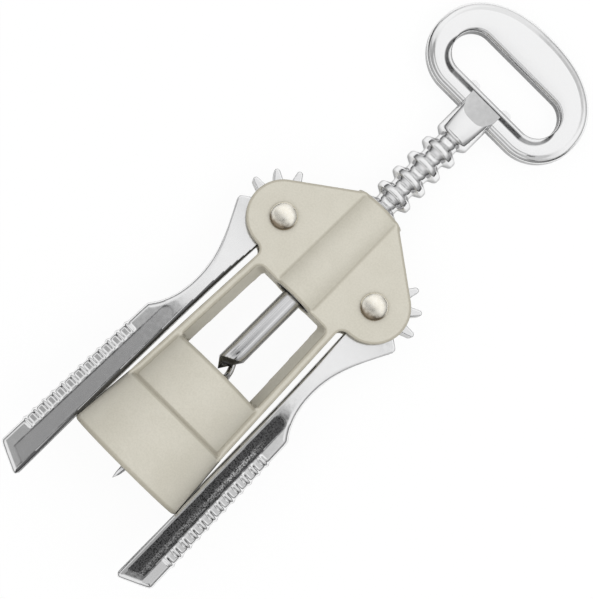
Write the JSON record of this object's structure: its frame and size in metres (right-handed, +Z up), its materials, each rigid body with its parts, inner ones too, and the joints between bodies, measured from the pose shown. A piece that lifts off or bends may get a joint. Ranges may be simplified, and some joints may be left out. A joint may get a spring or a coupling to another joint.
{
  "type": "double-lever corkscrew",
  "caption": "Wing corkscrew lying on its back: bell frame with toothed levers meshing a ringed spindle, oval cap-lifter handle and open worm.",
  "frame": {"origin": "on the table, under the middle of the corkscrew's bounding box", "axes": "+Y towards the handle, +Z up out of the front face, +X across to the right lever; the spindle's axis dips 5.69 degrees towards the handle, because the corkscrew rests on its bell and its handle"},
  "size_m": [0.0586, 0.1792, 0.0362],
  "materials": {
    "beige_paint": "satin beige paint",
    "chromed_casting": "bright chrome on a casting",
    "rivet_nickel": "satin nickel",
    "worm_steel": "polished steel",
    "bush_steel": "plain turned steel"
  },
  "bodies": {
    "frame": {"frame": "beige_paint", "rivet_left": "rivet_nickel", "rivet_right": "rivet_nickel"},
    "guide_bush": {"guide_bush": "bush_steel"},
    "spindle": {"handle_rack": "chromed_casting", "worm": "worm_steel", "worm_pin": "worm_steel"},
    "lever_left": {"lever_left": "chromed_casting"},
    "lever_right": {"lever_right": "chromed_casting"}
  },
  "joints": [
    {"name": "spindle_turn", "type": "hinge", "parent": "frame", "child": "guide_bush", "pos_m": [0, -0.06846, 0.01823], "axis": [0, -0.9951, 0.0991], "continuous": true},
    {"name": "spindle_slide", "type": "slide", "parent": "guide_bush", "child": "spindle", "axis": [0, -0.9951, 0.0991], "range_m": [0, 0.026]},
    {"name": "lever_left_pivot", "type": "hinge", "parent": "frame", "child": "lever_left", "pos_m": [-0.0165, 0.00528, 0.01089], "axis": [0, -0.0991, -0.9951], "range_deg": [0, 133.1]},
    {"name": "lever_right_pivot", "type": "hinge", "parent": "frame", "child": "lever_right", "pos_m": [0.0165, 0.00528, 0.01089], "axis": [0, 0.0991, 0.9951], "range_deg": [0, 133.1]}
  ],
  "couplings": [
    {"joint": "lever_left_pivot", "follows": "spindle_slide", "rad_per_m": 89.286},
    {"joint": "lever_right_pivot", "follows": "spindle_slide", "rad_per_m": 89.286}
  ]
}
